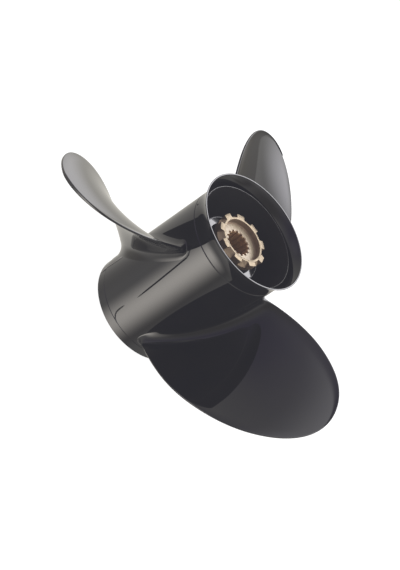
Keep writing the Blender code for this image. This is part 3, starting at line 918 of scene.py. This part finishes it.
def sleeve_sections(bronze):
    """Rings round the sleeve's wall: up the outside, over the seat and down the splined bore."""
    edge = bronze.edge
    seat_edge = bronze.seat_radius - bronze.seat_gap
    outside = rounded([
        (bronze.spline_major + 2 * edge, bronze.fore_z, 0),
        (bronze.radius, bronze.fore_z, edge),
        (bronze.radius, bronze.flange_fore_z, edge / 2),
        (bronze.flange_radius, bronze.flange_fore_z, edge),
        (bronze.flange_radius, bronze.flange_aft_z, edge / 2),
        (bronze.seat_radius + 6 * edge, bronze.flange_aft_z, 0),
        (bronze.seat_radius + 5 * edge, bronze.seat_z - edge, 0),
        (seat_edge, bronze.seat_z - edge, 0),
        (seat_edge, bronze.seat_z, 0),
    ])
    angles = spline_angles(bronze)
    rings = [[Vector((radius * math.cos(turn), radius * math.sin(turn), height))
              for turn, _ in angles] for radius, height in outside]
    mouth = bronze.spline_mouth
    for least, grown, height in (
        (0.0, mouth, bronze.seat_z),
        (0.0, 0.0, bronze.seat_z - mouth),
        (0.0, 0.0, bronze.fore_z + 6 * edge),
        (bronze.spline_major, 0.0, bronze.fore_z + 2 * edge),
    ):
        rings.append([Vector(((max(least, radius) + grown) * math.cos(turn),
                              (max(least, radius) + grown) * math.sin(turn), height))
                      for turn, radius in angles])
    return rings


def lug_corners(bronze, notch_radius):
    """Points round the ring of lugs, as (radius, angle), with its notches at the given radius."""
    pitch = math.tau / bronze.lug_count
    half_tip = math.asin(bronze.lug_width / 2 / bronze.lug_tip_radius)
    half_root = math.asin(bronze.lug_width / 2 / notch_radius)
    rest = pitch - 2 * half_root
    corners = []
    for i in range(bronze.lug_count):
        middle = bronze.lug_phase + i * pitch
        corners.append((notch_radius, middle - half_root))
        corners += [(bronze.lug_tip_radius, middle + half_tip * step / LUG_STEPS)
                    for step in range(-LUG_STEPS, LUG_STEPS + 1)]
        corners += [(notch_radius, middle + half_root + rest * step / NOTCH_STEPS)
                    for step in range(NOTCH_STEPS)]
    return corners


def lug_ring_sections(bronze):
    """Rings round the lugs' wall: up the notches, over the machined face and down the dish."""
    top = lug_corners(bronze, bronze.notch_radius)
    foot = lug_corners(bronze, bronze.flange_radius)
    centre = (bronze.seat_radius, bronze.seat_z + bronze.dish_round)
    dish = arc(centre, bronze.dish_round, 0.0, -math.pi / 2, DISH_STEPS)
    walk = [
        [(radius, turn, bronze.flange_aft_z) for radius, turn in foot],
        [(radius, turn, bronze.lug_face_z - bronze.notch_land) for radius, turn in top],
        [(radius, turn, bronze.lug_face_z) for radius, turn in top],
    ]
    for radius, height in [(centre[0] + bronze.dish_round, bronze.lug_face_z)] + dish:
        walk.append([(radius, turn, height) for _, turn in top])
    walk.append([(bronze.seat_radius, turn, bronze.seat_z - bronze.notch_land) for _, turn in top])
    return [[Vector((radius * math.cos(turn), radius * math.sin(turn), height))
             for radius, turn, height in corners] for corners in walk]


def bevel(bm, edges, width, segments):
    """Bevels edges to round ones."""
    bmesh.ops.bevel(bm, geom=edges, offset=width, offset_type='OFFSET', segments=segments,
                    profile=0.5, affect='EDGES', clamp_overlap=True, material=-1)


def lug_ring_mesh(bronze):
    """The ring of lugs, with a fine bevel round its upright corners and its machined face."""
    bm = lofted(lug_ring_sections(bronze), closed=True)
    bmesh.ops.recalc_face_normals(bm, faces=bm.faces)
    upright = [edge for edge in bm.edges
               if min(math.hypot(*vert.co.xy) for vert in edge.verts) > bronze.lug_tip_radius - NEAR
               and abs(edge.verts[0].co.z - edge.verts[1].co.z) > bronze.notch_land / 2
               and edge.calc_face_angle(0.0) > UPRIGHT_BEND]
    bevel(bm, upright, bronze.lug_bevel, 3)
    rim = [edge for edge in bm.edges
           if edge.calc_face_angle(0.0) > RIM_BEND
           and min(vert.co.z for vert in edge.verts) > bronze.lug_face_z - NEAR]
    bevel(bm, rim, bronze.face_bevel, 2)
    return bm


class PROPELLER_OT_sleeve(bpy.types.Operator):
    """Adds the splined bronze sleeve and its ring of lugs"""

    bl_idname = "propeller.sleeve"
    bl_label = "Drive Sleeve"

    def execute(self, context):
        bronze = context.scene.propeller_bronze
        colours = context.scene.propeller_finish
        looks = [bronze_material(context),
                 turned_material("turned_bronze", colours.turned, metallic=0.95),
                 milled_material("milled_bronze", colours.milled),
                 milled_material("broached_bronze_shaded", colours.broached_shaded),
                 turned_material("faced_bronze_lit", colours.faced_lightened, metallic=0.15)]
        sleeve = piece_from("cast_sleeve", lofted(sleeve_sections(bronze), closed=True), looks)
        bore, dish = bronze.spline_major, bronze.seat_radius + bronze.dish_round + NEAR
        seat_z, face_z, foot_z = bronze.seat_z, bronze.lug_face_z, bronze.flange_aft_z
        least, most = NOTCH_RISE
        # The splined bore gets the darker copy of the milled bronze, painted shade in the bore
        finish_faces(sleeve, BROACHED_SHADED, lambda radius, z, rise: radius < bore and z < seat_z)
        # The seat gets the lighter copy of the turned bronze, painted light against the dish wall's shade
        finish_faces(sleeve, FACED_LIT, lambda radius, z, rise: rise > SEAT_RISE and abs(z - seat_z) < NEAR)
        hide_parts("drive_sleeve")
        ring = piece_from("castellated_ring", lug_ring_mesh(bronze), looks)
        finish_faces(ring, MILLED,
                     lambda radius, z, rise: radius > dish and z > foot_z and least < rise < most)
        finish_faces(ring, TURNED, lambda radius, z, rise: rise > FACE_RISE and z > face_z - NEAR)
        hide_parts("lug_ring")
        return {'FINISHED'}


# Finishes

# The ranges of a noise pattern over which it changes a value, and a colour
VALUE_RANGE = (0.3, 0.7)
TONE_RANGE = (0.35, 0.65)


def dimmed(colour, part):
    """A colour with each of its channels cut to a part."""
    return tuple(part * channel for channel in colour)


class Recipe:
    """A material with its node tree, built up step by step."""

    def __init__(self, name):
        self.material = bpy.data.materials.new(name)
        self.material.use_nodes = True
        self.tree = self.material.node_tree
        self.shader = self.tree.nodes["Principled BSDF"]
        self.place = self.tree.nodes.new("ShaderNodeTexCoord").outputs["Object"]

    def set(self, **values):
        """Sets the shader's own sockets, with underscores for the spaces in their names."""
        for name, value in values.items():
            self.shader.inputs[name.replace("_", " ")].default_value = value

    def node(self, kind, **settings):
        """Adds a node and sets its properties or its input sockets."""
        node = self.tree.nodes.new(kind)
        for name, value in settings.items():
            if hasattr(node, name):
                setattr(node, name, value)
            else:
                node.inputs[name.replace("_", " ")].default_value = value
        return node

    def noise(self, scale, detail=2.0, roughness=0.5):
        """A noise pattern of so many cells to the metre."""
        node = self.node("ShaderNodeTexNoise", Scale=scale, Detail=detail, Roughness=roughness)
        self.tree.links.new(self.place, node.inputs["Vector"])
        return node.outputs["Fac"]

    def spread(self, value, low, high, socket):
        """Spreads a pattern between two values and sends it to a socket of the shader."""
        node = self.node("ShaderNodeMapRange")
        node.inputs["From Min"].default_value, node.inputs["From Max"].default_value = VALUE_RANGE
        node.inputs["To Min"].default_value = low
        node.inputs["To Max"].default_value = high
        self.tree.links.new(value, node.inputs["Value"])
        self.tree.links.new(node.outputs["Result"], self.shader.inputs[socket])

    def two_tone(self, value, first, second):
        """Colours the surface between two colours by a pattern."""
        ramp = self.node("ShaderNodeValToRGB")
        for element, place, tone in zip(ramp.color_ramp.elements, TONE_RANGE, (first, second)):
            element.position = place
            element.color = (*tone, 1.0)
        self.tree.links.new(value, ramp.inputs["Fac"])
        self.tree.links.new(ramp.outputs["Color"], self.shader.inputs["Base Color"])

    def relief(self, patterns, sockets=("Normal",)):
        """Raises the surface by patterns, each with its height in metres, into the given sockets."""
        last = None
        for value, height in patterns:
            bump = self.node("ShaderNodeBump", Strength=1.0, Distance=height)
            self.tree.links.new(value, bump.inputs["Height"])
            if last is not None:
                self.tree.links.new(last, bump.inputs["Normal"])
            last = bump.outputs["Normal"]
        for socket in sockets:
            self.tree.links.new(last, self.shader.inputs[socket])


def known(name):
    """A material that an earlier piece has already made, or None."""
    return bpy.data.materials.get(name)


def enamel_material(context):
    """Gloss black enamel over a casting: orange peel, a slow swell and small changes of gloss."""
    if known("gloss_enamel"):
        return known("gloss_enamel")
    colours = context.scene.propeller_finish
    recipe = Recipe("gloss_enamel")
    recipe.set(Specular_IOR_Level=0.0, Coat_Weight=1.0, Coat_Roughness=0.03, Coat_IOR=1.5)
    recipe.two_tone(recipe.noise(42.0, detail=3.0), colours.enamel, colours.enamel_warm)
    recipe.spread(recipe.noise(160.0, detail=4.0), 0.24, 0.36, "Roughness")
    recipe.relief([(recipe.noise(60.0, detail=1.0), 0.000012),
                   (recipe.noise(750.0, detail=1.0), 0.0000015)], ("Normal", "Coat Normal"))
    return recipe.material


def lightened_enamel_material(context):
    """The rougher enamel inside the exhaust passage, lighter in colour to paint in bounced light."""
    if known("dull_enamel_lightened"):
        return known("dull_enamel_lightened")
    colours = context.scene.propeller_finish
    recipe = Recipe("dull_enamel_lightened")
    recipe.set(Specular_IOR_Level=0.3, Coat_Weight=0.6, Coat_Roughness=0.22, Coat_IOR=1.5)
    recipe.two_tone(recipe.noise(35.0, detail=3.0), colours.enamel_dull_lightened, dimmed(colours.enamel_dull_lightened, 0.7))
    recipe.spread(recipe.noise(130.0, detail=4.0), 0.45, 0.60, "Roughness")
    recipe.relief([(recipe.noise(45.0, detail=2.0), 0.00006),
                   (recipe.noise(600.0, detail=3.0), 0.00001)], ("Normal", "Coat Normal"))
    return recipe.material


def rubber_material(context):
    """Moulded black rubber with a fine grain."""
    if known("moulded_rubber"):
        return known("moulded_rubber")
    recipe = Recipe("moulded_rubber")
    rubber = context.scene.propeller_finish.rubber
    recipe.two_tone(recipe.noise(220.0, detail=4.0), rubber, dimmed(rubber, 0.6))
    recipe.spread(recipe.noise(500.0, detail=3.0), 0.62, 0.80, "Roughness")
    recipe.relief([(recipe.noise(1800.0, detail=3.0), 0.00003)])
    return recipe.material


def bronze_material(context):
    """Cast bronze, brown in its hollows."""
    if known("cast_bronze"):
        return known("cast_bronze")
    colours = context.scene.propeller_finish
    recipe = Recipe("cast_bronze")
    recipe.set(Metallic=0.6)
    recipe.two_tone(recipe.noise(260.0, detail=5.0, roughness=0.6), colours.bronze_dark, colours.bronze)
    recipe.spread(recipe.noise(400.0, detail=4.0), 0.55, 0.72, "Roughness")
    recipe.relief([(recipe.noise(900.0, detail=5.0, roughness=0.65), 0.00005)])
    return recipe.material


def turned_material(name, colour, metallic):
    """Bronze turned on a lathe, with fine marks round the shaft axis."""
    if known(name):
        return known(name)
    recipe = Recipe(name)
    recipe.set(Metallic=metallic)
    recipe.two_tone(recipe.noise(500.0, detail=4.0), dimmed(colour, 0.86), colour)
    recipe.spread(recipe.noise(900.0, detail=3.0), 0.38, 0.47, "Roughness")
    marks = recipe.node("ShaderNodeTexWave", wave_type='RINGS', rings_direction='Z',
                        Scale=1050.0, Distortion=0.6, Detail=2.0)
    recipe.tree.links.new(recipe.place, marks.inputs["Vector"])
    recipe.relief([(marks.outputs["Fac"], 0.000006), (recipe.noise(2500.0, detail=3.0), 0.000004)])
    return recipe.material


def milled_material(name, colour):
    """Bronze in the milled notches or the splines, with fine marks across the shaft axis."""
    if known(name):
        return known(name)
    recipe = Recipe(name)
    recipe.set(Metallic=0.3)
    recipe.two_tone(recipe.noise(420.0, detail=4.0), dimmed(colour, 0.8), colour)
    recipe.spread(recipe.noise(800.0, detail=3.0), 0.45, 0.58, "Roughness")
    marks = recipe.node("ShaderNodeTexWave", wave_type='BANDS', bands_direction='Z',
                        Scale=900.0, Distortion=1.5, Detail=2.0)
    recipe.tree.links.new(recipe.place, marks.inputs["Vector"])
    recipe.relief([(marks.outputs["Fac"], 0.000006), (recipe.noise(2200.0, detail=3.0), 0.000006)])
    return recipe.material


def floor_material(context):
    """A matt floor with a faint mottle, which glows so that it shows as white all over."""
    recipe = Recipe("pale_floor")
    floor = context.scene.propeller_finish.floor
    recipe.two_tone(recipe.noise(6.0, detail=3.0), dimmed(floor, 0.985), floor)
    recipe.spread(recipe.noise(30.0, detail=2.0), 0.85, 0.95, "Roughness")
    recipe.set(Emission_Color=(1.0, 1.0, 1.0, 1.0), Emission_Strength=1.0)
    return recipe.material


# The stage

def camera_turn(stage):
    """The camera's turn: towards the aim, and then rolled about its own line of sight."""
    out = Vector((math.cos(stage.elevation) * math.cos(stage.azimuth),
                  math.cos(stage.elevation) * math.sin(stage.azimuth),
                  math.sin(stage.elevation)))
    level = Vector((0, 0, 1)).cross(out).normalized()
    upright = out.cross(level)
    up = upright * math.cos(stage.roll) + level * math.sin(stage.roll)
    right = up.cross(out)
    return out, Matrix((right, up, out)).transposed()


def add_camera(stage):
    """Adds the camera at the photograph's viewing angle."""
    data = bpy.data.cameras.new("photo_camera")
    data.lens = stage.lens
    data.clip_end = stage.reach
    camera = bpy.data.objects.new("photo_camera", data)
    bpy.context.scene.collection.objects.link(camera)
    out, turn = camera_turn(stage)
    place = Vector(stage.aim) + out * stage.distance
    camera.matrix_world = Matrix.Translation(place) @ turn.to_4x4()
    bpy.context.scene.camera = camera


# The studio's soft lights, and its dark sides, whose strength is below zero: azimuth and elevation
# of the middle, the angles from there at which each starts and is full, strength and colour
STUDIO = (
    (-73.0, -26.0, 40.0, 0.0, 5.8, (1.06, 1.00, 0.92)),
    (103.0, 41.0, 26.0, 15.0, 4.8, (0.99, 0.975, 1.05)),
    (117.0, 3.0, 23.5, 6.0, 2.0, (0.99, 0.98, 1.05)),
    (117.0, 3.0, 14.0, 5.0, 1.6, (0.99, 0.98, 1.05)),
    (115.0, 37.0, 10.0, 4.0, 2.0, (1.00, 1.00, 1.00)),
    (57.0, 67.0, 44.0, 2.0, 3.1, (0.99, 0.98, 1.05)),
    (-6.0, 79.0, 51.0, 10.0, 0.37, (1.00, 0.97, 1.05)),
    (-121.0, 44.0, 60.0, 8.0, -0.41, (1.05, 1.10, 0.60)),
    (-39.0, 15.0, 53.0, 11.0, -0.37, (1.00, 1.00, 1.00)),
    (-101.0, -12.0, 49.0, 14.0, 0.18, (1.00, 1.00, 1.00)),
    (81.0, -15.0, 40.0, 12.0, -0.34, (1.00, 1.00, 1.00)),
    (33.0, 24.0, 26.0, 8.0, -0.40, (1.00, 1.00, 1.00)),
    (-133.0, 28.0, 22.0, 5.0, 0.24, (1.00, 1.00, 1.00)),
    (-38.0, -40.0, 24.0, 6.0, -0.25, (1.00, 1.00, 1.00)),
    (-155.0, -60.0, 30.0, 10.0, -0.30, (1.00, 1.00, 1.00)),
)
STUDIO_BASE = (0.685, 0.66, 0.60)
DARKEST = (0.02, 0.02, 0.02)

# The black level of red, green and blue that lifts the picture's blacks
BLACK_LEVEL = (-0.0222, -0.0222, -0.0272)

# The lower edge of the pale wall behind the propeller: elevation, softness and strength, and the
# wall's middle azimuth and the angles at which it starts and is full
WALL_EDGE = (15.8, 0.9, 0.41)
WALL_SPREAD = (94.0, 74.0, 44.0)


def direction(azimuth, elevation):
    """A unit vector from an azimuth and an elevation in degrees."""
    turn, lift = math.radians(azimuth), math.radians(elevation)
    return Vector((math.cos(lift) * math.cos(turn), math.cos(lift) * math.sin(turn), math.sin(lift)))


class Sky:
    """The world's light, added up direction by direction in its node tree."""

    def __init__(self, world):
        world.use_nodes = True
        self.tree = world.node_tree
        self.place = self.tree.nodes.new("ShaderNodeTexCoord").outputs["Generated"]
        self.total = None

    def ramp(self, value, first, last, low, high):
        """Eases from one value to another while the input runs from first to last."""
        node = self.tree.nodes.new("ShaderNodeMapRange")
        node.interpolation_type = 'SMOOTHSTEP'
        for name, number in (("From Min", first), ("From Max", last), ("To Min", low), ("To Max", high)):
            node.inputs[name].default_value = number
        self.tree.links.new(value, node.inputs["Value"])
        return node.outputs["Result"]

    def lobe(self, azimuth, elevation, outer, inner, strength):
        """A round soft light of the given strength in one direction."""
        towards = self.tree.nodes.new("ShaderNodeVectorMath")
        towards.operation = 'DOT_PRODUCT'
        towards.inputs[1].default_value = direction(azimuth, elevation)
        self.tree.links.new(self.place, towards.inputs[0])
        away = self.tree.nodes.new("ShaderNodeMath")
        away.operation = 'ARCCOSINE'
        self.tree.links.new(towards.outputs["Value"], away.inputs[0])
        return self.ramp(away.outputs["Value"], math.radians(inner), math.radians(outer), strength, 0.0)

    def add(self, strength, tint):
        """Adds light of a colour, as strong as the given value, to the total."""
        tinted = self.tree.nodes.new("ShaderNodeVectorMath")
        tinted.operation = 'SCALE'
        tinted.inputs[0].default_value = tint
        self.tree.links.new(strength, tinted.inputs["Scale"])
        self.combine('ADD', tinted.outputs["Vector"])

    def combine(self, operation, other):
        """Combines the total with another colour, plain or from a node."""
        node = self.tree.nodes.new("ShaderNodeVectorMath")
        node.operation = operation
        if self.total is not None:
            self.tree.links.new(self.total, node.inputs[0])
        if isinstance(other, tuple):
            node.inputs[1].default_value = other
        else:
            self.tree.links.new(other, node.inputs[1])
        self.total = node.outputs["Vector"]

    def wall(self):
        """The pale wall behind, with its lower edge."""
        parts = self.tree.nodes.new("ShaderNodeSeparateXYZ")
        self.tree.links.new(self.place, parts.inputs["Vector"])
        edge, softness, strength = WALL_EDGE
        low = math.sin(math.radians(edge - softness / 2))
        high = math.sin(math.radians(edge + softness / 2))
        above = self.ramp(parts.outputs["Z"], low, high, 0.0, 1.0)
        azimuth, outer, inner = WALL_SPREAD
        spread = self.lobe(azimuth, edge, outer, inner, strength)
        both = self.tree.nodes.new("ShaderNodeMath")
        both.operation = 'MULTIPLY'
        self.tree.links.new(above, both.inputs[0])
        self.tree.links.new(spread, both.inputs[1])
        self.add(both.outputs["Value"], (1.0, 1.0, 1.0))


def light_studio(scene):
    """Lights the scene from all round, with soft lobes of light in a pale studio."""
    world = scene.world or bpy.data.worlds.new("studio")
    scene.world = world
    sky = Sky(world)
    sky.combine('ADD', STUDIO_BASE)
    for azimuth, elevation, outer, inner, strength, tint in STUDIO:
        sky.add(sky.lobe(azimuth, elevation, outer, inner, strength), tint)
    sky.wall()
    sky.combine('MAXIMUM', DARKEST)
    sky.tree.links.new(sky.total, sky.tree.nodes["Background"].inputs["Color"])


def lift_shadows(scene):
    """Shows whites as white and lifts black a little, as the photograph does."""
    view = scene.view_settings
    view.view_transform = 'Standard'
    view.use_curve_mapping = True
    view.curve_mapping.black_level = BLACK_LEVEL
    view.curve_mapping.update()


class PROPELLER_OT_stage(bpy.types.Operator):
    """Adds the floor, the studio lights and the camera"""

    bl_idname = "propeller.stage"
    bl_label = "Stage"

    def execute(self, context):
        scene = context.scene
        bm = bmesh.new()
        bmesh.ops.create_grid(bm, x_segments=1, y_segments=1, size=scene.propeller_stage.floor_half)
        mesh = bpy.data.meshes.new("studio_floor")
        bm.to_mesh(mesh)
        bm.free()
        floor = bpy.data.objects.new("studio_floor", mesh)
        mesh.materials.append(floor_material(context))
        scene.collection.objects.link(floor)
        floor.visible_glossy = False
        floor.visible_shadow = False
        light_studio(scene)
        lift_shadows(scene)
        add_camera(scene.propeller_stage)
        return {'FINISHED'}


class PROPELLER_PT_panel(bpy.types.Panel):
    """The propeller's pieces in the sidebar"""

    bl_idname = "PROPELLER_PT_panel"
    bl_label = "Outboard Propeller"
    bl_space_type = 'VIEW_3D'
    bl_region_type = 'UI'
    bl_category = "Propeller"

    def draw(self, context):
        for operator, group in STEPS:
            box = self.layout.box()
            box.operator(operator.bl_idname)
            sizes = getattr(context.scene, group)
            for name in sizes.bl_rna.properties.keys():
                if name not in ("rna_type", "name"):
                    box.prop(sizes, name)


GROUPS = (
    ("propeller_barrel", BarrelSizes),
    ("propeller_flash", FlashSizes),
    ("propeller_blades", BladeSizes),
    ("propeller_hub", HubSizes),
    ("propeller_bronze", BronzeSizes),
    ("propeller_finish", FinishColours),
    ("propeller_stage", StageSizes),
)

STEPS = (
    (PROPELLER_OT_barrel, "propeller_barrel"),
    (PROPELLER_OT_flash, "propeller_flash"),
    (PROPELLER_OT_blades, "propeller_blades"),
    (PROPELLER_OT_hub, "propeller_hub"),
    (PROPELLER_OT_bushing, "propeller_hub"),
    (PROPELLER_OT_sleeve, "propeller_bronze"),
    (PROPELLER_OT_stage, "propeller_stage"),
)


def register():
    """Registers the sizes, the operators and the panel."""
    for name, group in GROUPS:
        bpy.utils.register_class(group)
        setattr(bpy.types.Scene, name, PointerProperty(type=group))
    for operator, _ in STEPS:
        bpy.utils.register_class(operator)
    bpy.utils.register_class(PROPELLER_PT_panel)


def unregister():
    """Removes what register added."""
    bpy.utils.unregister_class(PROPELLER_PT_panel)
    for operator, _ in reversed(STEPS):
        bpy.utils.unregister_class(operator)
    for name, group in reversed(GROUPS):
        delattr(bpy.types.Scene, name)
        bpy.utils.unregister_class(group)


def main():
    """Builds every piece and the stage."""
    register()
    bpy.ops.propeller.barrel()
    bpy.ops.propeller.flash()
    bpy.ops.propeller.blades()
    bpy.ops.propeller.hub()
    bpy.ops.propeller.bushing()
    bpy.ops.propeller.sleeve()
    bpy.ops.propeller.stage()


if __name__ == "__main__":
    main()
